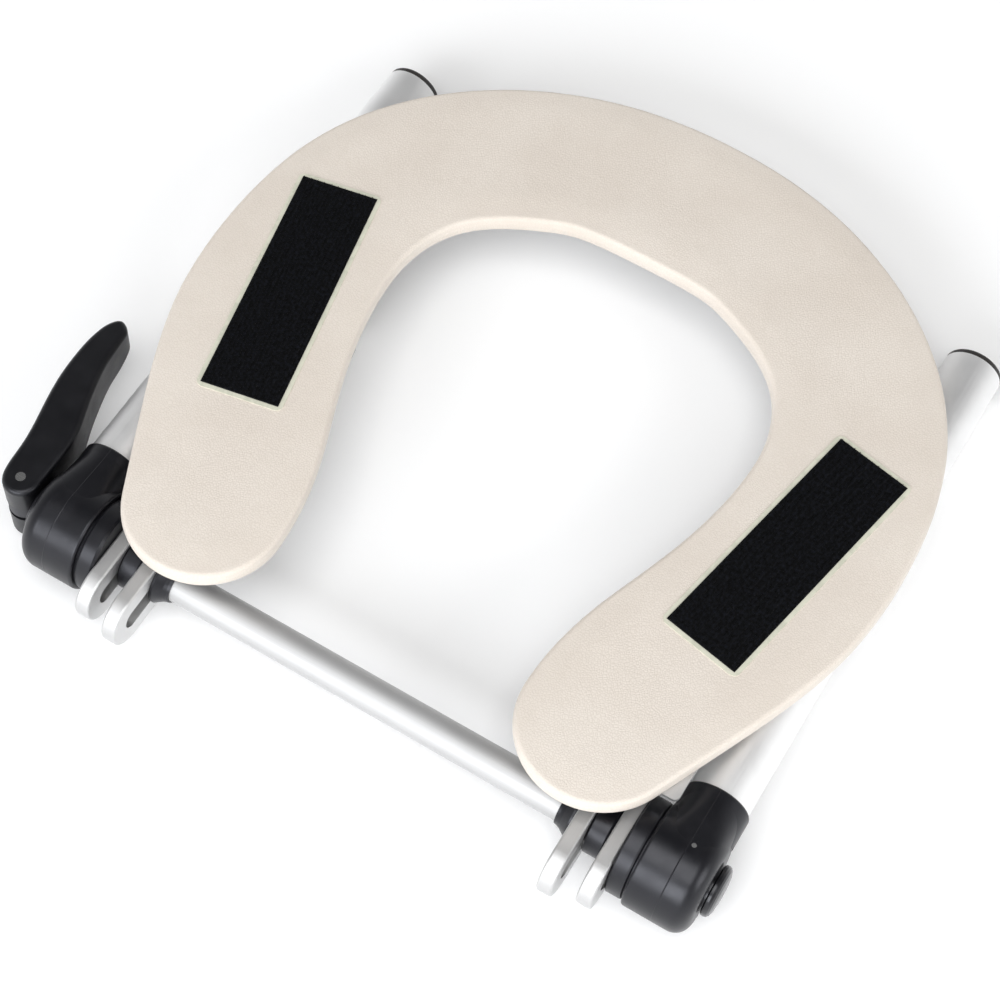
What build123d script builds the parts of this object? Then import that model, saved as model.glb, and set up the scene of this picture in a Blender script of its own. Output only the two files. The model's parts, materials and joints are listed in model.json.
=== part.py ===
from build123d import *
import os
from math import cos, sin, radians

os.makedirs("parts", exist_ok=True)

# Frame, in mm: X along the crossbar (cam lever at -X), Y along the posts (towards their
# free ends), Z up.  Y = 0 and Z = AXIS_Z is the clamp axis, Z = 0 the axis of the posts.

# ---- posts and housings -------------------------------------------------------
POST_PITCH = 232.0         # 9-1/8 in. socket spacing of a massage table
POST_R = 10.6
POST_NECK = 10.2           # turned-down end inside the housing
POST_WALL = 2.0
CAP_R = 10.5
POST_START, POST_END = 6.0, 214.8
CAP_T = 2.4
SOCKET_END = 24.5          # where the post enters its housing
SOCKET_R = 11.5
AXIS_Z = -5.2
HUB_R = 18.4
HUB_IN, HUB_OUT = 104.8, 127.3
DISC_IN, DISC_R = 98.05, 17.2

# ---- clamp stack, |X| along the clamp axis -------------------------------------
ROD_R = 2.5
BORE_R = 2.55
TUBE_HALF, TUBE_R, TUBE_WALL = 74.0, 6.0, 1.2
COLLAR_OUT = 79.95
ARM_T = 5.4
INNER_ARM, OUTER_ARM = 80.0, 92.6      # inboard face of each arm
GUIDE_R = 10.0
WASHER_OUT = 129.1
PIN_HEAD_R, PIN_ANGLE = 0.85, 98.0   # retaining pin, and its place round the right hub

# ---- slotted arms --------------------------------------------------------------
ARM_R = 10.5               # half the height of an arm
ARM_FRONT, ARM_BACK = -15.0, 118.0     # centres of the rounded ends
INNER_EXTRA = 3.0          # the inner arms reach this much further forward
SLOT_R = 3.75
SLOT_FRONT, SLOT_BACK = -15.0, 45.0    # centres of the slot's ends
BOLT_Y = (76.0, 106.0)
BOLT_R = 3.0
FLANGE_Z = 13.6            # underside of the brackets' flange
SCREW_R, SCREW_TIP = 1.5, 19.4

# ---- padded board --------------------------------------------------------------
BOARD_Z, TOP_Z = 15.0, 22.5
TIP_X, TIP_Y, TIP_R = 74.4, 19.6, 27.8
TIP_OUT, TIP_IN = 24.0, 178.0          # where the sides leave the round tip, degrees
SKIN_SIDE, SKIN_TOP, LINING = 1.3, 2.0, 0.5
PATCH_L, PATCH_W, PATCH_LEAN = 91.6, 28.0, 11.0
PATCH_X, PATCH_Y = 96.6, 103.9

# ---- cam lever -----------------------------------------------------------------
PIN_X, PIN_R = -136.3, 1.75
CAM_R, CAM_OFF = 6.75, 0.4           # cam circle, and its centre's offset from the pin
LEVER_LOW, LEVER_TOP = -20.0, 9.6
BLADE_LOW = -6.2           # underside of the blade, away from the head
SHELL_TOP = 3.4            # thickness of the blade's top
RIBS = (30.0, 47.0)
EYE_HALF = 3.4


def save(node, shape):
    export_step(shape, f"parts/{node}.step")


def rod_x(x0, x1, r, y=0.0, z=AXIS_Z):
    """A round bar along X."""
    return Pos((x0 + x1) / 2, y, z) * Rot(0, 90, 0) * Cylinder(r, abs(x1 - x0))


def rod_y(y0, y1, r, x=0.0, z=0.0):
    """A round bar along Y."""
    return Pos(x, (y0 + y1) / 2, z) * Rot(90, 0, 0) * Cylinder(r, abs(y1 - y0))


def rod_z(z0, z1, r, x, y):
    """A round bar along Z."""
    return Pos(x, y, (z0 + z1) / 2) * Cylinder(r, abs(z1 - z0))


def block(x0, x1, y0, y1, z0, z1):
    return Pos((x0 + x1) / 2, (y0 + y1) / 2, (z0 + z1) / 2) * Box(x1 - x0, y1 - y0, z1 - z0)


def turned_x(profile, y=0.0, z=AXIS_Z):
    """Revolve (x, radius) points about the clamp axis."""
    face = Plane.XZ * make_face(Polyline(*profile, close=True))
    return Pos(0, y, z) * revolve(face, Axis.X)


def soften(solid, edges, r):
    """Round edges where the kernel can, else leave them sharp."""
    try:
        done = solid.fillet(r, list(edges))
        return done if done.is_valid else solid
    except Exception:
        print("sharp edge kept, radius", r)
        return solid


# ---- fixed frame: posts, caps, housings ------------------------------------------
def post(x):
    solid = rod_y(SOCKET_END, POST_END, POST_R, x) + rod_y(POST_START, SOCKET_END, POST_NECK, x)
    return solid - rod_y(POST_START, POST_END, POST_R - POST_WALL, x)


def post_cap(x):
    face = rod_y(POST_END, POST_END + CAP_T, CAP_R, x)
    rim = face.edges().filter_by(GeomType.CIRCLE).sort_by(Axis.Y)[-1:]
    face = soften(face, rim, 1.4)
    plug = rod_y(POST_END - 16, POST_END, POST_R - POST_WALL, x)
    return face + plug


def housing(side):
    """Elbow: a hub across the clamp axis with a socket for the post."""
    x0, x1 = sorted((side * HUB_IN, side * HUB_OUT))
    hub = rod_x(x0, x1, HUB_R)
    outer = hub.edges().filter_by(GeomType.CIRCLE).sort_by(Axis.X)
    outer = outer[-1:] if side > 0 else outer[:1]
    hub = soften(hub, outer, 6.0)
    inner = hub.edges().filter_by(GeomType.CIRCLE).sort_by(Axis.X)
    inner = inner[:1] if side > 0 else inner[-1:]
    hub = soften(hub, inner, 1.0)
    xp = side * POST_PITCH / 2
    socket = rod_y(0, SOCKET_END, SOCKET_R, xp)
    rim = socket.edges().filter_by(GeomType.CIRCLE).sort_by(Axis.Y)[-1:]
    socket = soften(socket, rim, 1.2)
    for a, b, y in ((90, HUB_IN, 18.8), (HUB_OUT, 140, 13.0)):
        socket -= block(*sorted((side * a, side * b)), -5, y, -20, 20)
    body = hub + socket + elbow(xp)
    body -= rod_y(POST_START, SOCKET_END + 1, POST_NECK, xp)
    body -= rod_x(side * 100, side * 130, BORE_R)
    return body


def superellipse(y, x, half_x, low, top, power, count=28):
    """A closed section across the post; power 2 is an ellipse, and more is squarer."""
    mid, half_z = (low + top) / 2, (top - low) / 2
    points = []
    for k in range(count):
        c, s = cos(radians(360 * k / count)), sin(radians(360 * k / count))
        scale = (abs(c) ** power + abs(s) ** power) ** (-1 / power)
        points.append((x + half_x * c * scale, y, mid + half_z * s * scale))
    return make_face(Spline(*points, periodic=True))


def elbow(x):
    """The moulding narrows smoothly from the hub to the round socket."""
    low, top = AXIS_Z - HUB_R, AXIS_Z + HUB_R
    return loft([superellipse(0.5, x, 11.15, low + 0.15, top - 0.1, 5.0),
                 superellipse(6.5, x, 11.15, low + 2.0, top - 0.55, 4.0),
                 superellipse(12.5, x, 11.15, low + 6.2, top - 1.1, 2.9),
                 superellipse(18.5, x, 11.15, low + 10.4, top - 1.6, 2.2),
                 superellipse(22.5, x, 11.3, -SOCKET_R + 0.05, SOCKET_R - 0.05, 2.0)])


def retaining_pin(r, sink):
    """A small pin in the right hub's crown holds the post."""
    a = radians(PIN_ANGLE)
    y, z = -cos(a) * (HUB_R - sink), AXIS_Z + sin(a) * (HUB_R - sink)
    return Pos(POST_PITCH / 2 + 1.5, y, z) * Rot(90 - PIN_ANGLE, 0, 0) * Pos(0, 0, -2.0) * Cylinder(r, 4.0)


def friction_disc(side):
    x0, x1 = DISC_IN, HUB_IN
    pts = [(x0, BORE_R), (x1, BORE_R), (x1, DISC_R - 0.7), (x1 - 0.35, DISC_R - 0.7),
           (x1 - 0.8, DISC_R - 0.15), (x1 - 1.4, DISC_R), (x0 + 0.8, DISC_R), (x0, DISC_R - 0.8)]
    return turned_x([(side * x, r) for x, r in pts])


def collar(side):
    """Flared plug between the crossbar and the inner arm."""
    boss = TUBE_R - TUBE_WALL
    pts = [(TUBE_HALF - 9, BORE_R), (COLLAR_OUT, BORE_R), (COLLAR_OUT, 9.3), (COLLAR_OUT - 1.0, 9.3),
           (COLLAR_OUT - 2.4, 8.3), (COLLAR_OUT - 3.8, 7.4), (COLLAR_OUT - 5.0, 6.9), (TUBE_HALF, 6.7),
           (TUBE_HALF, boss), (TUBE_HALF - 9, boss)]
    return turned_x([(side * x, r) for x, r in pts])


def crossbar():
    return rod_x(-TUBE_HALF, TUBE_HALF, TUBE_R) - rod_x(-TUBE_HALF, TUBE_HALF, TUBE_R - TUBE_WALL)


def cam_washer():
    pts = [(HUB_OUT, BORE_R), (HUB_OUT, 10.5), (HUB_OUT + 0.6, 11.0), (WASHER_OUT - 0.4, 11.0),
           (WASHER_OUT, 10.6), (WASHER_OUT, BORE_R)]
    return turned_x([(-x, r) for x, r in pts])


for side, name in ((-1, "left"), (1, "right")):
    x = side * POST_PITCH / 2
    save(f"post_{name}", post(x))
    save(f"post_cap_{name}", post_cap(x))
    body = housing(side)
    if side > 0:
        body -= retaining_pin(PIN_HEAD_R + 0.02, -0.5) + retaining_pin(PIN_HEAD_R + 0.02, 0.3)
        save("retaining_pin", retaining_pin(PIN_HEAD_R, 0.15))
    save(f"housing_{name}", body)
    save(f"friction_disc_{name}", friction_disc(side))
    save(f"collar_{name}", collar(side))
save("crossbar_tube", crossbar())
save("cam_washer", cam_washer())


# ---- tie rod with its eye, pin and cap nut ------------------------------------------
def cap_nut():
    x0 = HUB_OUT + 0.6
    pts = [(HUB_OUT, ROD_R), (HUB_OUT, 7.9), (x0, 7.9), (x0, 8.4), (x0 + 0.5, 8.9), (x0 + 1.4, 9.0),
           (x0 + 2.2, 8.7), (x0 + 2.8, 8.0), (x0 + 3.3, 6.5), (x0 + 3.6, 4.2), (x0 + 3.7, 0),
           (x0 + 2.7, 0), (x0 + 2.7, ROD_R)]
    return turned_x(pts)


def rod_eye():
    eye = rod_z(AXIS_Z - EYE_HALF, AXIS_Z + EYE_HALF, 6.2, PIN_X, 0)
    eye = soften(eye, eye.edges().filter_by(GeomType.CIRCLE), 0.8)
    eye -= rod_z(AXIS_Z - 10, AXIS_Z + 10, PIN_R, PIN_X, 0)
    eye -= rod_x(PIN_X + 2.5, PIN_X + 12, ROD_R)
    return eye


save("tie_rod", rod_x(PIN_X + 2.5, HUB_OUT + 3.3, ROD_R))
save("rod_eye", rod_eye())
save("cam_pin", rod_z(LEVER_LOW + 0.5, LEVER_TOP - 0.1, PIN_R, PIN_X, 0))
save("cap_nut", cap_nut())


# ---- cam lever ------------------------------------------------------------------
def lever_outline():
    """Plan view of the closed lever: cam head at the pin, blade along the post."""
    cx, cy = PIN_X + CAM_OFF * cos(radians(30)), CAM_OFF * sin(radians(30))

    def heel(deg):
        return cx + CAM_R * cos(radians(deg)), cy + CAM_R * sin(radians(deg))

    start = heel(215)
    outer = [start, (-143.9, 9.7), (-147.3, 28.4), (-149.2, 39.6), (-149.9, 50.7), (-149.4, 61)]
    tip = [(-147.9, 66.6), (-144.7, 69.8), (-141.5, 68.2)]
    inner = [(-139.7, 63), (-138.5, 52), (-136.1, 42), (-133.3, 33), (-131.0, 26), (-129.7, 19), (-129.45, 12)]
    a = Spline(*outer, tangents=[(sin(radians(215)), -cos(radians(215))), (0.15, 1)])
    t = Spline(outer[-1], *tip, inner[0], tangents=[(0.15, 1), (0.1, -1)])
    b = Spline(*inner, tangents=[(0.1, -1), (0, -1)])
    side = Line(inner[-1], heel(15))
    cam = ThreePointArc(heel(15), heel(-60), start)
    return make_face([a, t, b, side, cam])


def lever_hollow():
    """Plan view of the hollow inside the blade, a wall's thickness in from its outline."""
    outer = [(-142.8, 16), (-144.9, 28.4), (-146.8, 39.6), (-147.5, 50.7), (-147.0, 60)]
    inner = [(-142.1, 62), (-140.9, 52), (-138.5, 42), (-135.7, 33), (-133.4, 26), (-132.0, 16)]
    a = Spline(*outer, tangents=[(-0.18, 1), (0.15, 1)])
    t = Spline(outer[-1], (-144.7, 66.8), inner[0], tangents=[(0.15, 1), (0.1, -1)])
    b = Spline(*inner, tangents=[(0.1, -1), (0.08, -1)])
    return make_face([a, t, b, Line(inner[-1], outer[0])])


def lever_profile():
    """Side view of the lever, (y, z): deep at the cam head, shallower along the blade."""
    under = Spline((9, LEVER_LOW), (17, -14.5), (25, -8.0), (36, BLADE_LOW), tangents=[(1, 0), (1, 0)])
    grip = Line((36, BLADE_LOW), (56, BLADE_LOW))
    nose = Spline((56, BLADE_LOW), (66, BLADE_LOW + 2.6), (74, BLADE_LOW + 8.0), tangents=[(1, 0), (1, 0.9)])
    front = Line((74, BLADE_LOW + 8.0), (74, LEVER_TOP - 2.2))
    top = Spline((74, LEVER_TOP - 2.2), (60, LEVER_TOP - 0.9), (36, LEVER_TOP), tangents=[(-1, 0.12), (-1, 0)])
    rest = Polyline((36, LEVER_TOP), (-12, LEVER_TOP), (-12, LEVER_LOW), (9, LEVER_LOW))
    return make_face([under, grip, nose, front, top, *rest.edges()])


def lever_body():
    outline = lever_outline()
    height = LEVER_TOP - LEVER_LOW
    blade = Pos(0, 0, LEVER_LOW) * extrude(outline, height)
    blade &= Pos(-170, 0, 0) * extrude(Plane.YZ * lever_profile(), 60)
    top = [e for e in blade.edges() if e.center().Z > LEVER_TOP - 2.6 and e.length > 3]
    blade = soften(blade, top, 1.8)
    low = [e for e in blade.edges() if e.center().Z < BLADE_LOW + 4 and e.length > 3
           and e.bounding_box().size.Z < 20]
    blade = soften(blade, low, 0.8)
    # moulded shell: hollow from below, with two ribs
    hollow = Pos(0, 0, LEVER_LOW - 5) * extrude(lever_hollow(), height + 5 - SHELL_TOP)
    for y in RIBS:
        hollow -= block(-160, -120, y - 0.6, y + 0.6, BLADE_LOW + 2, LEVER_TOP)
    blade -= hollow
    # fork around the rod's eye
    gap = EYE_HALF + 0.2
    fork = block(-152, -120, -12, 8.5, AXIS_Z - gap, AXIS_Z + gap)
    fork &= rod_z(LEVER_LOW, LEVER_TOP, 8.9, PIN_X, 0)
    blade -= fork
    blade -= rod_z(LEVER_LOW - 1, LEVER_TOP + 1, PIN_R + 0.05, PIN_X, 0)
    return blade


save("lever_body", lever_body())


# ---- slot guides: spacer with a tongue in each slot -----------------------------------
def slot_guide(side):
    g = 0.05
    body = turned_x([(side * x, r) for x, r in (
        (INNER_ARM + ARM_T + g, BORE_R), (OUTER_ARM - g, BORE_R), (OUTER_ARM - g, GUIDE_R - 0.8),
        (OUTER_ARM - g - 0.8, GUIDE_R), (INNER_ARM + ARM_T + g + 0.8, GUIDE_R),
        (INNER_ARM + ARM_T + g, GUIDE_R - 0.8))])
    tongue = block(*sorted((side * (INNER_ARM + 0.1), side * (OUTER_ARM + ARM_T - 0.1))),
                   -3.7, 3.7, AXIS_Z - 3.7, AXIS_Z + 3.7)
    ends = tongue.edges().filter_by(Axis.X)
    tongue = soften(tongue, ends, 0.6)
    return body + tongue - rod_x(side * 70, side * 110, BORE_R)


for side, name in ((-1, "left"), (1, "right")):
    save(f"slot_guide_{name}", slot_guide(side))


# ---- slotted arms, brackets and fasteners -----------------------------------------
def stadium(x0, x1, y0, y1, r):
    """A bar with round ends, standing on edge, lying along Y."""
    bar = block(x0, x1, y0, y1, AXIS_Z - r, AXIS_Z + r)
    return bar + rod_x(x0, x1, r, y0) + rod_x(x0, x1, r, y1)


def arm(x0, extra=0.0):
    plate = stadium(x0, x0 + ARM_T, ARM_FRONT - extra, ARM_BACK, ARM_R)
    rims = plate.edges().filter_by_position(Axis.X, x0 - 0.01, x0 + 0.01)
    rims += plate.edges().filter_by_position(Axis.X, x0 + ARM_T - 0.01, x0 + ARM_T + 0.01)
    plate = soften(plate, rims, 0.8)
    plate -= stadium(x0 - 1, x0 + ARM_T + 1, SLOT_FRONT - extra, SLOT_BACK, SLOT_R)
    for y in BOLT_Y:
        plate -= rod_x(x0 - 1, x0 + ARM_T + 1, BOLT_R, y)
    return plate


def bracket(web_x, flange_x0, flange_x1):
    """Folded plate under the board: a long flange and a web bolted to the outer arm."""
    flange = block(flange_x0, flange_x1, 11.5, 128, FLANGE_Z, BOARD_Z)
    corners = flange.edges().filter_by(Axis.Z)
    flange = soften(flange, corners, 2.0)
    web = block(web_x, web_x + 2, 66, 116, AXIS_Z - ARM_R + 1, FLANGE_Z)
    low = [e for e in web.edges().filter_by(Axis.X) if e.center().Z < 0]
    web = soften(web, low, 8.0)
    body = flange + web
    for y in BOLT_Y:
        body -= rod_x(web_x - 1, web_x + 3, BOLT_R, y)
    return body


def board_screws(side):
    x = 98.8 if side > 0 else -93.0
    return [(x, 24.0), (x, 56.0), (x, 122.0)]


def board_screw(x, y):
    head = rod_z(FLANGE_Z - 1.2, FLANGE_Z, 2.7, x, y)
    head = soften(head, head.edges().filter_by(GeomType.CIRCLE).sort_by(Axis.Z)[:1], 0.6)
    slot = Pos(x, y, FLANGE_Z - 1.2) * (Box(3.0, 0.6, 1.2) + Box(0.6, 3.0, 1.2))
    return head + rod_z(FLANGE_Z - 0.1, SCREW_TIP, SCREW_R, x, y) - slot


def hexagon(x0, x1, across, y):
    """A hex prism along X."""
    prism = extrude(RegularPolygon(across / 2, 6, major_radius=False), x1 - x0)
    return Pos(x0, y, AXIS_Z) * Rot(0, 90, 0) * prism


def arm_bolt(side, y):
    """From the nut inside the inner arm to the domed head outside the bracket."""
    x0, x1 = INNER_ARM - 5.2, OUTER_ARM + ARM_T + 2
    head = turned_x([(x1, 0), (x1, 5.6), (x1 + 1.2, 5.4), (x1 + 2.4, 4.2), (x1 + 3.0, 2.4), (x1 + 3.1, 0)], y)
    head -= hexagon(x1 + 1.4, x1 + 4, 3.0, y)
    shape = head + rod_x(x0, x1, BOLT_R, y)
    return shape if side > 0 else mirror(shape, Plane.YZ)


def arm_nut(side, y):
    shape = hexagon(INNER_ARM - 4.8, INNER_ARM, 10.0, y) - rod_x(INNER_ARM - 6, INNER_ARM + 1, BOLT_R, y)
    return shape if side > 0 else mirror(shape, Plane.YZ)


def arm_spacer(side, y):
    x0, x1 = INNER_ARM + ARM_T, OUTER_ARM
    shape = rod_x(x0, x1, 6.0, y) - rod_x(x0, x1, BOLT_R, y)
    return shape if side > 0 else mirror(shape, Plane.YZ)


save("arm_left_outer", arm(-OUTER_ARM - ARM_T))
save("arm_left_inner", arm(-INNER_ARM - ARM_T, INNER_EXTRA))
save("arm_right_inner", arm(INNER_ARM, INNER_EXTRA))
save("arm_right_outer", arm(OUTER_ARM))

brackets = {"left": (-OUTER_ARM - ARM_T - 2, -100.0, -86.0), "right": (OUTER_ARM + ARM_T, 94.0, 106.4)}
for side, name in ((-1, "left"), (1, "right")):
    body = bracket(*brackets[name])
    for i, (x, y) in enumerate(board_screws(side)):
        body -= rod_z(0, 30, SCREW_R, x, y)
        save(f"board_screw_{name}_{i + 1}", board_screw(x, y))
    save(f"bracket_{name}", body)
    for tag, y in zip(("front", "back"), BOLT_Y):
        save(f"arm_bolt_{name}_{tag}", arm_bolt(side, y))
        save(f"arm_nut_{name}_{tag}", arm_nut(side, y))
        save(f"arm_spacer_{name}_{tag}", arm_spacer(side, y))


# ---- padded board ------------------------------------------------------------------
def half_outline(inset=0.0):
    r = TIP_R - inset
    a, b = radians(-TIP_OUT), radians(TIP_IN)
    tip_a = (TIP_X + r * cos(a), TIP_Y + r * sin(a))
    tip_b = (TIP_X + r * cos(b), TIP_Y + r * sin(b))
    # (x, y, direction of the outward normal in degrees)
    outer = [(0, 241.4, 90), (62.4, 228.8, 65), (99.6, 203.6, 48), (124.7, 166, 22),
             (132.5, 122, 0), (127.2, 75, -14), (112.6, 37, -25)]
    inner = [(51.2, 50, 166), (61.7, 80, 161), (70.6, 118, 178), (69.6, 143, 197),
             (58.6, 162.4, 227), (36, 176.2, 255), (0, 181, 270)]
    outer = [(x - inset * cos(radians(n)), y - inset * sin(radians(n))) for x, y, n in outer]
    inner = [(x - inset * cos(radians(n)), y - inset * sin(radians(n))) for x, y, n in inner]
    out = Spline(*outer, tip_a, tangents=[(1, 0), (sin(a), -cos(a))])
    tip = ThreePointArc(tip_a, (TIP_X, TIP_Y - r), tip_b)
    inn = Spline(tip_b, *inner, tangents=[(sin(b), -cos(b)), (-1, 0)])
    return out, tip, inn, outer[0], inner[-1]


def board_slab(z0, z1, inset=0.0):
    out, tip, inn, crown, crotch = half_outline(inset)
    close = Line(crotch, crown)
    half = make_face([out, tip, inn, close])
    slab = Pos(0, 0, z0) * extrude(half, z1 - z0)
    return slab, mirror(slab, Plane.YZ)


def whole(z0, z1, inset=0.0):
    a, b = board_slab(z0, z1, inset)
    return (a + b).clean()


core_low, core_top = BOARD_Z + LINING, TOP_Z - SKIN_TOP
core = whole(core_low, core_top, SKIN_SIDE)
cover = whole(core_low, TOP_Z)
rim = [e for e in cover.edges() if e.center().Z > TOP_Z - 0.01]
cover = soften(cover, rim, 1.5)
cover -= whole(BOARD_Z, core_top, SKIN_SIDE)
lining = whole(BOARD_Z, BOARD_Z + LINING, 0.8)
for side in (-1, 1):
    for x, y in board_screws(side):
        hole = rod_z(0, SCREW_TIP, SCREW_R, x, y)
        core -= hole
        lining -= hole
save("board_core", core)
save("board_cover", cover)
save("bottom_lining", lining)


def patch(side, length, width, z0, z1, r):
    plate = extrude(RectangleRounded(width, length, r), z1 - z0)
    return Pos(side * PATCH_X, PATCH_Y, z0) * Rot(0, 0, -side * -PATCH_LEAN * -1) * plate


for side, name in ((-1, "left"), (1, "right")):
    save(f"patch_film_{name}", patch(side, PATCH_L + 3.0, PATCH_W + 3.0, TOP_Z, TOP_Z + 0.3, 2.5))
    save(f"hook_patch_{name}", patch(side, PATCH_L, PATCH_W, TOP_Z + 0.3, TOP_Z + 1.5, 0.6))
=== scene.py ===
import json
from math import cos, pi, radians, sin
from random import Random

import bmesh
import bpy
from mathutils import Matrix, Vector, noise
from mathutils.geometry import box_fit_2d


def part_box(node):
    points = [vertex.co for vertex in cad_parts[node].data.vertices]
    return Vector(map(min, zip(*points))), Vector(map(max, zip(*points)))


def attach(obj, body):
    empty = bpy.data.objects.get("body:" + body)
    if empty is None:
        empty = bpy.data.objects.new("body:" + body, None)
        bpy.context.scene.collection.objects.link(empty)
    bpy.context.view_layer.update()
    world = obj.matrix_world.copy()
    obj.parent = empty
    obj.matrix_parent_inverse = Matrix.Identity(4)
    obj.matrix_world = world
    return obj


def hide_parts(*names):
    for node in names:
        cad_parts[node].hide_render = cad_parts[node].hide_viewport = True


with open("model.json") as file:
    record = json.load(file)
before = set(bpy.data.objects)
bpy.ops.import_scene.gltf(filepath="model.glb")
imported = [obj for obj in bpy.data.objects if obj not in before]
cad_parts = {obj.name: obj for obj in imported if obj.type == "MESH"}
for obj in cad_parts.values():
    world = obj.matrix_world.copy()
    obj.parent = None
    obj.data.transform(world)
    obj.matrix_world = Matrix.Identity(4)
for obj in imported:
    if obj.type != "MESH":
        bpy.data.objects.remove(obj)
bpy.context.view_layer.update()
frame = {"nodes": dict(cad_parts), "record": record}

MM = 0.001
NODES = frame["nodes"]

# ---- sizes the visual pieces add to the CAD --------------------------------------
OUTLINE_STEP = 1.5 * MM      # spacing of points along the board's edge
CROWN = 0.45 * MM            # how far the padding falls away towards the edge
CROWN_WIDTH = 11.0 * MM
EDGE_ROUND = 1.7 * MM
LOW_ROUND = 1.1 * MM
SIDE_BULGE = 0.25 * MM
WRAP_WIDTH = 15.0 * MM       # vinyl turned under the board
LINING_INSET = 5.5 * MM
LINING_T = 0.22 * MM
STAPLE_PITCH = 22.0 * MM
STAPLE_HALF = 4.4 * MM
STAPLE_WIRE = 0.33 * MM       # radius
HOOK_PITCH = (1.15 * MM, 1.25 * MM)
HOOK_WIRE = 0.11 * MM         # radius
HOOK_STRAY = 0.12 * MM
TAPE_T = 0.4 * MM


# ---- materials ---------------------------------------------------------------------
class Shader:
    """A procedural material: nodes are added by type, and linked by socket name."""

    def __init__(self, name, **settings):
        self.mat = bpy.data.materials.new(name)
        self.mat.use_nodes = True
        self.tree = self.mat.node_tree
        self.bsdf = self.tree.nodes["Principled BSDF"]
        for key, value in settings.items():
            self.bsdf.inputs[key.replace("_", " ")].default_value = value
        self.coord = self.tree.nodes.new("ShaderNodeTexCoord").outputs["Object"]

    def add(self, kind, inputs=(), **settings):
        node = self.tree.nodes.new("ShaderNode" + kind)
        for key, value in settings.items():
            setattr(node, key, value)
        for key, value in dict(inputs).items():
            self.put(node.inputs[key], value)
        return node

    def put(self, socket, value):
        if isinstance(value, bpy.types.NodeSocket):
            self.tree.links.new(value, socket)
        else:
            socket.default_value = value

    def scaled(self, x, y, z):
        return self.add("Mapping", {"Vector": self.coord, "Scale": (x, y, z)}).outputs["Vector"]

    def noise(self, scale, detail=3.0, rough=0.55, vector=None):
        return self.add("TexNoise", {"Vector": vector or self.coord, "Scale": scale,
                                     "Detail": detail, "Roughness": rough}).outputs["Fac"]

    def cells(self, scale, feature="DISTANCE_TO_EDGE", vector=None):
        return self.add("TexVoronoi", {"Vector": vector or self.coord, "Scale": scale},
                        feature=feature).outputs["Distance"]

    def math(self, op, a, b=0.0, c=0.0):
        node = self.add("Math", operation=op)
        for socket, value in zip(node.inputs, (a, b, c)):
            self.put(socket, value)
        return node.outputs[0]

    def ramp(self, value, low, high, to_low=0.0, to_high=1.0):
        return self.add("MapRange", {"Value": value, "From Min": low, "From Max": high,
                                     "To Min": to_low, "To Max": to_high}).outputs["Result"]

    def mix(self, factor, a, b):
        node = self.add("Mix", data_type="RGBA")
        for index, value in ((0, factor), (6, a), (7, b)):
            self.put(node.inputs[index], value)
        return node.outputs[2]

    def bump(self, height, strength, depth, under=None):
        inputs = {"Height": height, "Strength": strength, "Distance": depth}
        if under:
            inputs["Normal"] = under
        return self.add("Bump", inputs).outputs["Normal"]

    def use(self, socket, value):
        self.put(self.bsdf.inputs[socket], value)


def shade(v, warm=0.0):
    return (v * (1 + warm), v, v * (1 - warm), 1.0)


def vinyl():
    """Cream vinyl with a fine pebbled grain, and painted shade in the grain's valleys."""
    s = Shader("vinyl_cream", Sheen_Weight=0.12, Sheen_Roughness=0.5)
    push = s.add("TexNoise", {"Vector": s.coord, "Scale": 420.0}).outputs["Color"]
    warped = s.add("VectorMath", operation="MULTIPLY_ADD")
    for socket, value in zip(warped.inputs, (push, (0.0006, 0.0006, 0.0006), s.coord)):
        s.put(socket, value)
    cell = s.cells(1050.0, vector=warped.outputs[0])
    pebble = s.ramp(cell, 0.0, 0.16)
    fine = s.noise(3600.0, 2.0)
    height = s.math("ADD", s.math("MULTIPLY", pebble, 0.7), s.math("MULTIPLY", fine, 0.5))
    cloud = s.noise(26.0, 3.0)
    tone = s.mix(s.ramp(cloud, 0.35, 0.65), (0.715, 0.645, 0.572, 1), (0.760, 0.694, 0.622, 1))
    # painted shade: the base colour darkens in the valleys between the pebbles, where shade falls
    tone = s.mix(s.ramp(pebble, 0.0, 1.0, 0.35, 0.0), tone, (0.61, 0.54, 0.46, 1))
    s.use("Base Color", tone)
    s.use("Roughness", s.ramp(s.noise(180.0), 0.3, 0.7, 0.44, 0.56))
    s.use("Normal", s.bump(height, 0.6, 0.00014, s.bump(s.noise(95.0, 2.0), 0.25, 0.0004)))
    return s.mat


def drawn_metal(name, along, tone, rough, lines=0.12):
    """Metal with faint lines left along one axis by drawing or brushing."""
    s = Shader(name, Metallic=1.0)
    scale = [2600.0, 2600.0, 2600.0]
    scale["xyz".index(along)] = 14.0
    streak = s.noise(1.0, 4.0, 0.65, s.scaled(*scale))
    haze = s.noise(70.0, 3.0)
    s.use("Base Color", s.mix(s.ramp(haze, 0.3, 0.7), shade(tone * 0.95), shade(tone)))
    s.use("Roughness", s.math("ADD", s.ramp(streak, 0.25, 0.75, rough - 0.06, rough + 0.06),
                              s.ramp(haze, 0.3, 0.7, -0.03, 0.03)))
    s.use("Normal", s.bump(streak, lines, 0.00003))
    return s.mat


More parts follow.
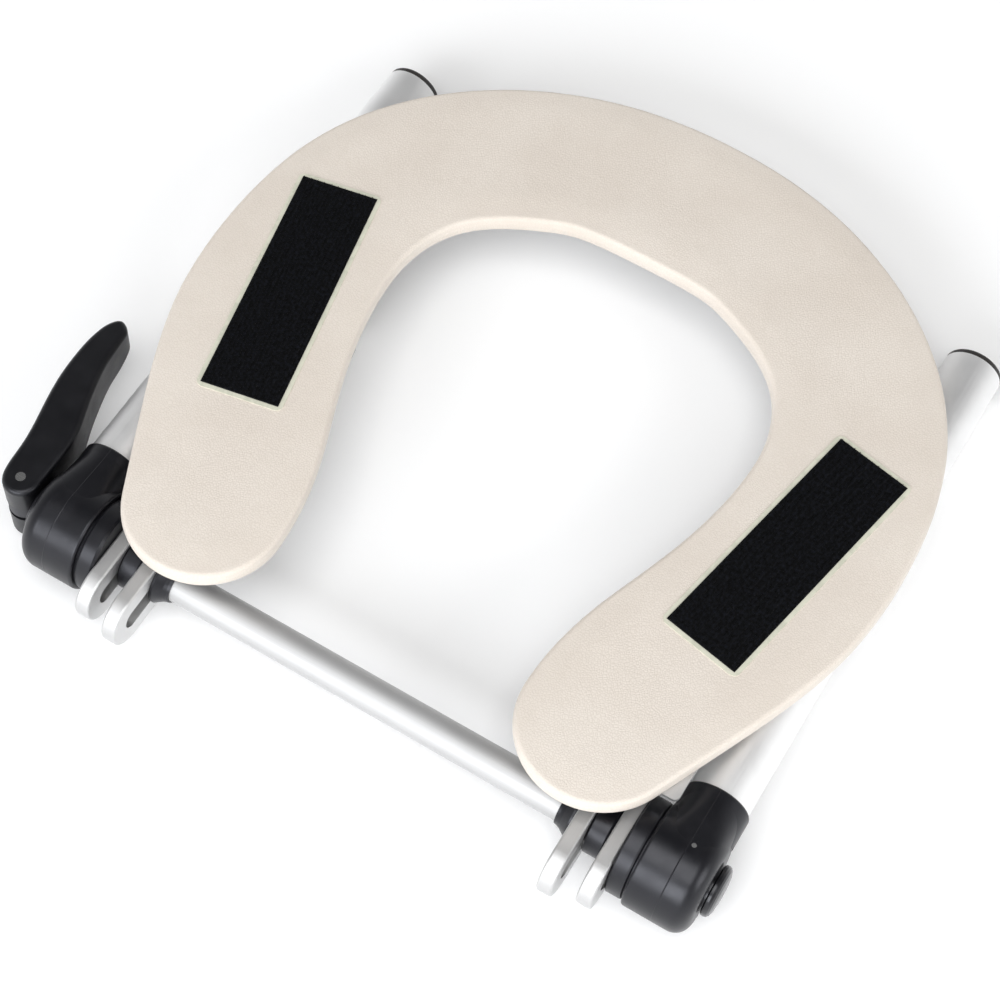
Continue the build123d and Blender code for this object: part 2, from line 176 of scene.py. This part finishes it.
def moulded(name, colour, rough, grain=0.25, coat=0.0, line_x=None):
    """Moulded plastic with a fine spark-eroded texture, and a parting line if asked."""
    s = Shader(name, Specular_IOR_Level=0.5, Specular_Tint=(0.92, 0.93, 1.0, 1.0),
               Coat_Weight=coat, Coat_Roughness=0.12)
    fine = s.noise(2600.0, 2.0, 0.6)
    cloud = s.noise(120.0, 4.0, 0.6)
    lift = tuple(c * 1.6 + 0.001 for c in colour[:3]) + (1.0,)
    s.use("Base Color", s.mix(s.ramp(cloud, 0.45, 0.8, 0.0, 0.45), colour, lift))
    s.use("Roughness", s.ramp(cloud, 0.3, 0.7, rough - 0.05, rough + 0.07))
    normal = s.bump(fine, grain, 0.00003)
    if line_x:
        x = s.add("SeparateXYZ", {0: s.coord}).outputs["X"]
        off = s.math("ABSOLUTE", s.math("SUBTRACT", s.math("ABSOLUTE", x), line_x))
        normal = s.bump(s.ramp(off, 0.0, 0.00022, 1.0, 0.0), 0.7, 0.00012, normal)
    s.use("Normal", normal)
    return s.mat


def plywood():
    s = Shader("plywood_birch", Roughness=0.6)
    grain = s.noise(1.0, 5.0, 0.6, s.scaled(60.0, 900.0, 900.0))
    z = s.add("SeparateXYZ", {0: s.coord}).outputs["Z"]
    ply = s.math("PINGPONG", z, 0.00085)
    tone = s.mix(s.ramp(grain, 0.35, 0.7), (0.62, 0.47, 0.30, 1), (0.42, 0.28, 0.15, 1))
    s.use("Base Color", s.mix(s.ramp(ply, 0.0, 0.00085, 0.35, 0.0), tone, (0.25, 0.15, 0.08, 1)))
    s.use("Normal", s.bump(grain, 0.2, 0.0001))
    return s.mat


def lining():
    """Black non-woven cloth: pressed fibres with a lattice of welded dots."""
    s = Shader("lining_nonwoven", Sheen_Weight=0.3, Sheen_Roughness=0.6)
    fibre = s.math("ADD", s.noise(1.0, 4.0, 0.7, s.scaled(3200.0, 700.0, 900.0)),
                   s.noise(1.0, 4.0, 0.7, s.scaled(700.0, 3200.0, 900.0)))
    dots = s.cells(700.0, "F1", s.scaled(1.0, 1.0, 0.0))
    press = s.ramp(dots, 0.18, 0.3)
    s.use("Base Color", s.mix(s.ramp(fibre, 0.7, 1.3), (0.012, 0.012, 0.013, 1), (0.05, 0.05, 0.053, 1)))
    s.use("Roughness", s.ramp(press, 0.0, 1.0, 0.55, 0.85))
    s.use("Normal", s.bump(s.math("ADD", fibre, press), 0.5, 0.0001))
    return s.mat


def hook_tape():
    """Black nylon tape: a tight plain weave, with the hooks in the same yarn."""
    s = Shader("hook_tape_nylon", Specular_IOR_Level=0.14)
    weave = s.add("TexWave", {"Vector": s.coord, "Scale": 420.0, "Distortion": 1.2}, wave_type="BANDS")
    cross = s.add("TexWave", {"Vector": s.coord, "Scale": 420.0, "Distortion": 1.2}, wave_type="BANDS",
                  bands_direction="Y")
    height = s.math("MULTIPLY", weave.outputs["Fac"], cross.outputs["Fac"])
    speck = s.noise(900.0, 2.0)
    s.use("Base Color", s.mix(s.ramp(speck, 0.45, 0.75), (0.0008, 0.0009, 0.0012, 1),
                              (0.006, 0.007, 0.011, 1)))
    s.use("Roughness", s.ramp(speck, 0.3, 0.7, 0.38, 0.6))
    s.use("Normal", s.bump(height, 0.5, 0.0001))
    return s.mat


def film():
    """Clear adhesive film; the cream vinyl shows through it, a little greener."""
    s = Shader("film_clear", Coat_Weight=0.6, Coat_Roughness=0.1, Specular_IOR_Level=0.55)
    ripple = s.noise(240.0, 2.0)
    s.use("Base Color", s.mix(s.ramp(ripple, 0.35, 0.65), (0.60, 0.60, 0.49, 1), (0.70, 0.69, 0.57, 1)))
    s.use("Roughness", s.ramp(ripple, 0.3, 0.7, 0.22, 0.34))
    s.use("Normal", s.bump(ripple, 0.25, 0.0002))
    return s.mat


BLACK = (0.003, 0.003, 0.0045, 1.0)
MATERIALS = {
    "vinyl": vinyl(),
    "lining": lining(),
    "hook_tape": hook_tape(),
    "film": film(),
    "plywood": plywood(),
    "post_tube": drawn_metal("aluminium_tube_y", "y", 0.93, 0.56),
    "crossbar": drawn_metal("aluminium_tube_x", "x", 0.62, 0.64),
    "arm_plate": drawn_metal("aluminium_plate", "y", 0.68, 0.52, 0.2),
    "steel": drawn_metal("steel_bright", "x", 0.62, 0.24, 0.08),
    "black_plastic": moulded("plastic_black", BLACK, 0.34),
    "housing": moulded("plastic_housing", BLACK, 0.34, line_x=116.0 * MM),
    "lever": moulded("plastic_lever", (0.003, 0.003, 0.004, 1.0), 0.36, grain=0.15),
    "eye": moulded("plastic_eye", (0.03, 0.03, 0.034, 1.0), 0.5),
    "cap_plastic": moulded("plastic_cap", (0.024, 0.021, 0.018, 1.0), 0.48),
    "nut_gloss": moulded("plastic_nut", (0.004, 0.004, 0.005, 1.0), 0.3, grain=0.05, coat=0.35),
}
SPECIAL = {"crossbar_tube": "crossbar", "housing_left": "housing", "housing_right": "housing",
           "lever_body": "lever", "rod_eye": "eye"}
for part in frame["record"]["subparts"]:
    obj = NODES[part["node"]]
    obj.data.materials.clear()
    obj.data.materials.append(MATERIALS[SPECIAL.get(part["node"], part["material_slot"])])


def piece(name, mesh_data, material, body):
    """A visual piece that rides on a body."""
    obj = bpy.data.objects.new(name, mesh_data)
    bpy.context.scene.collection.objects.link(obj)
    mesh_data.materials.append(MATERIALS[material])
    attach(obj, body)
    return obj


def mesh_from(bm, name, smooth=True):
    bmesh.ops.recalc_face_normals(bm, faces=bm.faces)
    for face in bm.faces:
        face.smooth = smooth
    mesh = bpy.data.meshes.new(name)
    bm.to_mesh(mesh)
    bm.free()
    return mesh


# ---- the board's outline, read from the CAD cover ------------------------------------
def rim_loop(node, z, step):
    """The longest sharp loop of a node at height z, as evenly spaced (x, y) points."""
    bm = bmesh.new()
    bm.from_mesh(NODES[node].data)
    bmesh.ops.remove_doubles(bm, verts=bm.verts, dist=0.002 * MM)
    links = {}
    for edge in bm.edges:
        if len(edge.link_faces) != 2 or any(abs(v.co.z - z) > 0.01 * MM for v in edge.verts):
            continue
        slopes = sorted(abs(f.normal.z) for f in edge.link_faces)
        if slopes[0] < 0.5 < slopes[1]:
            a, b = edge.verts
            links.setdefault(a, []).append(b)
            links.setdefault(b, []).append(a)
    best, seen = [], set()
    for start in links:
        if start in seen:
            continue
        loop, last, here = [], None, start
        while here not in seen:
            seen.add(here)
            loop.append(here.co.xy.copy())
            ahead = [v for v in links[here] if v is not last and v not in seen]
            if not ahead:
                break
            last, here = here, ahead[0]
        if length(loop) > length(best):
            best = loop
    bm.free()
    return evenly(best, step)


def length(loop):
    return sum((a - b).length for a, b in zip(loop, loop[1:] + loop[:1]))


def loop_area(loop):
    """Signed area of a closed loop, positive when it runs anticlockwise."""
    return sum(a.x * b.y - b.x * a.y for a, b in zip(loop, loop[1:] + loop[:1])) / 2


def evenly(loop, step):
    """Resample a closed loop at equal spacing."""
    total = length(loop)
    count = round(total / step)
    gap, points, want, gone = total / count, [], 0.0, 0.0
    for a, b in zip(loop, loop[1:] + loop[:1]):
        run = (b - a).length
        while len(points) < count and want <= gone + run + 1e-12:
            points.append(a.lerp(b, (want - gone) / run if run else 0.0))
            want += gap
        gone += run
    return points


def inward(loop):
    """Smoothed unit normals that point into the board."""
    n = len(loop)
    turn = 1.0 if loop_area(loop) > 0 else -1.0
    normals = []
    for i in range(n):
        t = (loop[(i + 2) % n] - loop[i - 2]).normalized()
        normals.append(Vector((-t.y, t.x)) * turn)
    return normals


def smoothstep(t):
    t = min(1.0, max(0.0, t))
    return t * t * (3 - 2 * t)


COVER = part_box("board_cover")
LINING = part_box("bottom_lining")
TOP, UNDER = COVER[1][2], LINING[0][2]
EDGE = rim_loop("board_cover", COVER[0][2], OUTLINE_STEP)
NORMALS = inward(EDGE)


def ring_strip(bm, loop, normals, profile, ripple=None):
    """Rings offset inwards from the loop, each at its own depth and height, and bridged."""
    rings = []
    for depth, z in profile:
        ring = []
        for i, (p, n) in enumerate(zip(loop, normals)):
            d, h = ripple(i, p, depth, z) if ripple else (depth, z)
            q = p + n * d
            ring.append(bm.verts.new((q.x, q.y, h)))
        rings.append(ring)
    for low, high in zip(rings, rings[1:]):
        for i in range(len(low)):
            j = (i + 1) % len(low)
            bm.faces.new((low[i], low[j], high[j], high[i]))
    return rings


def fill(bm, ring):
    edges = [bm.edges.get((a, b)) for a, b in zip(ring, ring[1:] + ring[:1])]
    bmesh.ops.triangle_fill(bm, use_beauty=True, use_dissolve=False, edges=edges)


def cover_profile():
    """(depth, height) from the turned-under edge, round the side, to the middle of the top."""
    low, r = UNDER + 0.25 * MM, EDGE_ROUND
    points = [(WRAP_WIDTH, low), (WRAP_WIDTH - 0.6 * MM, low - 0.1 * MM), (9 * MM, low - 0.1 * MM),
              (5 * MM, low - 0.1 * MM), (2.4 * MM, low - 0.08 * MM)]
    for k in range(7):
        a = radians(-90 + 15 * k)
        points.append((LOW_ROUND * (1 - cos(a)), low + LOW_ROUND * (1 + sin(a))))
    side_low, side_high = low + LOW_ROUND, TOP - CROWN - r
    for k in range(1, 6):
        t = k / 6
        points.append((-SIDE_BULGE * sin(pi * t), side_low + (side_high - side_low) * t))
    for k in range(9):
        a = radians(11.25 * k)
        points.append((r * (1 - cos(a)), side_high + r * sin(a)))
    for d in (2.4, 3.4, 4.8, 6.5, 8.5, 10.5, 12.5, 16.0, 20.0):
        points.append((d * MM, TOP - CROWN * (1 - smoothstep(d * MM / CROWN_WIDTH))))
    return points


def cover_ripple(i, p, depth, z):
    """Hand-stretched vinyl: faint waves along the rounded edge, and pleats under the tips."""
    wave = noise.noise(Vector((p.x * 55, p.y * 55, depth * 40)))
    if z < UNDER + 0.4 * MM and 3 * MM < depth < WRAP_WIDTH:
        at_tip = 1 - smoothstep((p.y - 15 * MM) / (25 * MM))
        z += 0.07 * MM * sin(i * 1.05) * at_tip
    elif z > UNDER + 2 * MM:
        fade = 1 - smoothstep(depth / (9 * MM))
        depth += 0.10 * MM * wave * fade
        z += 0.05 * MM * wave * fade if depth > 1.0 * MM else 0.0
    return depth, z


bm = bmesh.new()
rings = ring_strip(bm, EDGE, NORMALS, cover_profile(), cover_ripple)
fill(bm, rings[0])
fill(bm, rings[-1])
cover = piece("padded_cover", mesh_from(bm, "padded_cover"), "vinyl", "board")
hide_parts("board_cover")


# ---- lining and staples under the board --------------------------------------------------
bm = bmesh.new()
thick = LINING_T
hem = [(LINING_INSET + 4 * MM, UNDER + thick), (LINING_INSET + 0.1 * MM, UNDER + thick),
       (LINING_INSET, UNDER + thick / 2), (LINING_INSET + 0.1 * MM, UNDER + 0.02 * MM),
       (LINING_INSET + 4 * MM, UNDER + 0.02 * MM), (LINING_INSET + 8 * MM, UNDER + 0.06 * MM),
       (LINING_INSET + 12 * MM, UNDER + 0.06 * MM)]


def hem_ripple(i, p, depth, z):
    """The turned hem wanders a little between the staples."""
    return depth + 0.5 * MM * noise.noise(Vector((p.x * 90, p.y * 90, 3.0))), z


rings = ring_strip(bm, EDGE, NORMALS, hem, hem_ripple)
fill(bm, rings[0])
fill(bm, rings[-1])
cloth = piece("lining_cloth", mesh_from(bm, "lining_cloth"), "lining", "board")
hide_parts("bottom_lining")

FLANGES = [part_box("bracket_left"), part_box("bracket_right")]


def near_flange(x, y, margin=7 * MM):
    return any(lo[0] - margin < x < hi[0] + margin and lo[1] - margin < y < hi[1] + margin
               for lo, hi in FLANGES)


def tube(bm, path, radius, sides=6):
    """A thin bar along a short path, closed at both ends."""
    rings = []
    for i, p in enumerate(path):
        t = (path[min(i + 1, len(path) - 1)] - path[max(i - 1, 0)]).normalized()
        side = t.cross(Vector((0, 0, 1)) if abs(t.z) < 0.9 else Vector((1, 0, 0))).normalized()
        up = side.cross(t)
        turns = [2 * pi * k / sides for k in range(sides)]
        rings.append([bm.verts.new(p + (side * cos(a) + up * sin(a)) * radius) for a in turns])
    for a, b in zip(rings, rings[1:]):
        for k in range(sides):
            m = (k + 1) % sides
            bm.faces.new((a[k], a[m], b[m], b[k]))
    bm.faces.new(rings[0][::-1])
    bm.faces.new(rings[-1])


bm = bmesh.new()
step = round(STAPLE_PITCH / OUTLINE_STEP)
for i in range(0, len(EDGE), step):
    mid = EDGE[i] + NORMALS[i] * (LINING_INSET + 4 * MM)
    if near_flange(mid.x, mid.y):
        continue
    along = Vector((NORMALS[i].y, -NORMALS[i].x, 0))
    crown, foot = UNDER - 0.2 * MM, UNDER + 0.7 * MM
    middle = Vector((mid.x, mid.y, 0))
    bend = crown + 0.2 * MM
    shape = ((-1.1, foot), (-1.1, bend), (-1, crown), (1, crown), (1.1, bend), (1.1, foot))
    path = [middle + along * (s * STAPLE_HALF) + Vector((0, 0, z)) for s, z in shape]
    tube(bm, path, STAPLE_WIRE)
staples = piece("lining_staples", mesh_from(bm, "lining_staples"), "steel", "board")


# ---- hook patches -----------------------------------------------------------------------------
def patch_frame(node):
    """Centre, long and short directions, half sizes and heights of a thin rectangular node."""
    points = [v.co.copy() for v in NODES[node].data.vertices]
    turn = -box_fit_2d([p.xy for p in points])
    u = Vector((cos(turn), sin(turn), 0))
    v = Vector((-u.y, u.x, 0))
    us, vs = [p.dot(u) for p in points], [p.dot(v) for p in points]
    if max(us) - min(us) < max(vs) - min(vs):
        u, v, us, vs = v, -u, vs, [-x for x in us]
    centre = u * (max(us) + min(us)) / 2 + v * (max(vs) + min(vs)) / 2
    low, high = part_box(node)
    return centre, u, v, (max(us) - min(us)) / 2, (max(vs) - min(vs)) / 2, low[2], high[2]


def hook_patch(side):
    node = f"hook_patch_{side}"
    centre, u, v, half_u, half_v, low, high = patch_frame(node)
    rand = Random(side)
    up = Vector((0, 0, 1))
    bm = bmesh.new()
    base = low + TAPE_T
    outline = [(-half_u, -half_v), (half_u, -half_v), (half_u, half_v), (-half_u, half_v)]
    rings = []
    for inset, z in ((0.1 * MM, low), (0.0, low + 0.1 * MM), (0.0, base - 0.12 * MM), (0.15 * MM, base)):
        rings.append([bm.verts.new(centre + u * (a - inset * (1 if a > 0 else -1))
                                   + v * (b - inset * (1 if b > 0 else -1)) + up * z) for a, b in outline])
    for a, b in zip(rings, rings[1:]):
        for k in range(4):
            bm.faces.new((a[k], a[(k + 1) % 4], b[(k + 1) % 4], b[k]))
    bm.faces.new(rings[0][::-1])
    bm.faces.new(rings[-1])
    for face in bm.faces:
        face.smooth = False
    rise = high - base - HOOK_WIRE
    rows, cols = int(2 * half_v / HOOK_PITCH[1]), int(2 * half_u / HOOK_PITCH[0])
    for r in range(rows):
        for c in range(cols):
            du = -half_u + (c + 0.5 + 0.5 * (r % 2) * 0.9) * 2 * half_u / (cols + 0.5)
            dv = -half_v + (r + 0.5) * 2 * half_v / rows
            root = (centre + u * (du + rand.uniform(-HOOK_STRAY, HOOK_STRAY))
                    + v * (dv + rand.uniform(-HOOK_STRAY, HOOK_STRAY)))
            way = u if r % 2 else -u
            lean = (way + v * rand.uniform(-0.6, 0.6)).normalized()
            reach = 0.42 * MM * rand.uniform(0.8, 1.15)
            tall = rise * rand.uniform(0.82, 1.0)
            path = [root + up * (base - 0.05 * MM), root + up * (base + tall * 0.62) - lean * reach * 0.15,
                    root + up * (base + tall) + lean * reach * 0.35,
                    root + up * (base + tall * 0.86) + lean * reach,
                    root + up * (base + tall * 0.5) + lean * reach * 1.15]
            keep_in(path, centre, u, v, half_u, half_v)
            tube(bm, path, HOOK_WIRE, 3)
    mesh = bpy.data.meshes.new(f"hook_tape_{side}")
    bm.to_mesh(mesh)
    bm.free()
    obj = piece(f"hook_tape_{side}", mesh, "hook_tape", "board")
    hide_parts(node)
    return obj


def keep_in(path, centre, u, v, half_u, half_v):
    """Hold a hook's points inside the patch."""
    for p in path:
        for axis, half in ((u, half_u), (v, half_v)):
            off = (p - centre).dot(axis)
            limit = half - HOOK_WIRE
            if abs(off) > limit:
                p -= axis * (off - (limit if off > 0 else -limit))


hook_patch("left")
hook_patch("right")


# ---- floor, light and camera ------------------------------------------------------------------
def floor():
    """Pale floor that touches the hubs and the posts' caps."""
    hub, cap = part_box("housing_left"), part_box("post_cap_left")
    front_y = (hub[0][1] + hub[1][1]) / 2 - 3 * MM
    slope = (cap[0][2] - hub[0][2]) / (cap[1][1] - front_y)
    mesh = bpy.data.meshes.new("floor")
    size = 4.0
    corners = [(x, y, hub[0][2] - 0.2 * MM + (y - front_y) * slope)
               for x, y in ((-size, -size), (size, -size), (size, size), (-size, size))]
    mesh.from_pydata(corners, [], [(0, 1, 2, 3)])
    obj = bpy.data.objects.new("floor", mesh)
    bpy.context.scene.collection.objects.link(obj)
    s = Shader("floor_white", Roughness=0.9, Emission_Strength=0.08)
    s.use("Base Color", s.mix(s.noise(3.0), (0.93, 0.93, 0.93, 1), (0.95, 0.95, 0.95, 1)))
    s.bsdf.inputs["Emission Color"].default_value = (1, 1, 1, 1)
    mesh.materials.append(s.mat)


def softbox(name, place, aim, size, power, colour=(1, 1, 1)):
    light = bpy.data.lights.new(name, "AREA")
    light.shape = "RECTANGLE"
    light.size, light.size_y = size
    light.energy = power
    light.color = colour
    obj = bpy.data.objects.new(name, light)
    obj.location = place
    obj.rotation_euler = (Vector(aim) - Vector(place)).to_track_quat("-Z", "Y").to_euler()
    bpy.context.scene.collection.objects.link(obj)


def studio_world(horizon, zenith):
    """White surroundings, brighter towards the horizon than overhead."""
    world = bpy.data.worlds.new("studio")
    bpy.context.scene.world = world
    world.use_nodes = True
    tree = world.node_tree
    add = tree.nodes.new
    coord, split, fall = add("ShaderNodeTexCoord"), add("ShaderNodeSeparateXYZ"), add("ShaderNodeMapRange")
    tree.links.new(coord.outputs["Generated"], split.inputs[0])
    tree.links.new(split.outputs["Z"], fall.inputs["Value"])
    fall.inputs["To Min"].default_value, fall.inputs["To Max"].default_value = horizon, zenith
    back = tree.nodes["Background"]
    back.inputs["Color"].default_value = (1, 1, 1, 1)
    tree.links.new(fall.outputs["Result"], back.inputs["Strength"])


def camera(azimuth, elevation, roll, distance, target, lens, shift):
    a, e, r = (radians(v) for v in (azimuth, elevation, roll))
    back = Vector((sin(a) * cos(e), -cos(a) * cos(e), sin(e)))
    right = Vector((cos(a), sin(a), 0))
    up = back.cross(right)
    right, up = right * cos(r) + up * sin(r), up * cos(r) - right * sin(r)
    data = bpy.data.cameras.new("camera")
    data.lens, data.sensor_width = lens, 36.0
    data.shift_x, data.shift_y = shift
    data.clip_start, data.clip_end = 0.01, 20.0
    obj = bpy.data.objects.new("camera", data)
    turn = Matrix((right, up, back)).transposed().to_4x4()
    obj.matrix_world = Matrix.Translation(Vector(target) + back * distance) @ turn
    bpy.context.scene.collection.objects.link(obj)
    bpy.context.scene.camera = obj


floor()
bpy.context.scene.view_settings.view_transform = "Standard"
studio_world(0.95, 0.02)
centre = (0, 0.1, 0)
softbox("key_front", (-0.15, -2.2, 1.1), centre, (2.2, 1.2), 46, (0.95, 0.97, 1.0))
softbox("side_right", (2.0, -0.2, 1.1), centre, (1.2, 1.2), 15)
softbox("top", (0.1, -0.5, 1.6), centre, (1.1, 1.1), 14)
camera(26.259, 60.666, 5.135, 0.800625, (0.000882, 0.082485, 0.0), 85.07, (-0.0001, -0.0013))

bpy.context.view_layer.update()
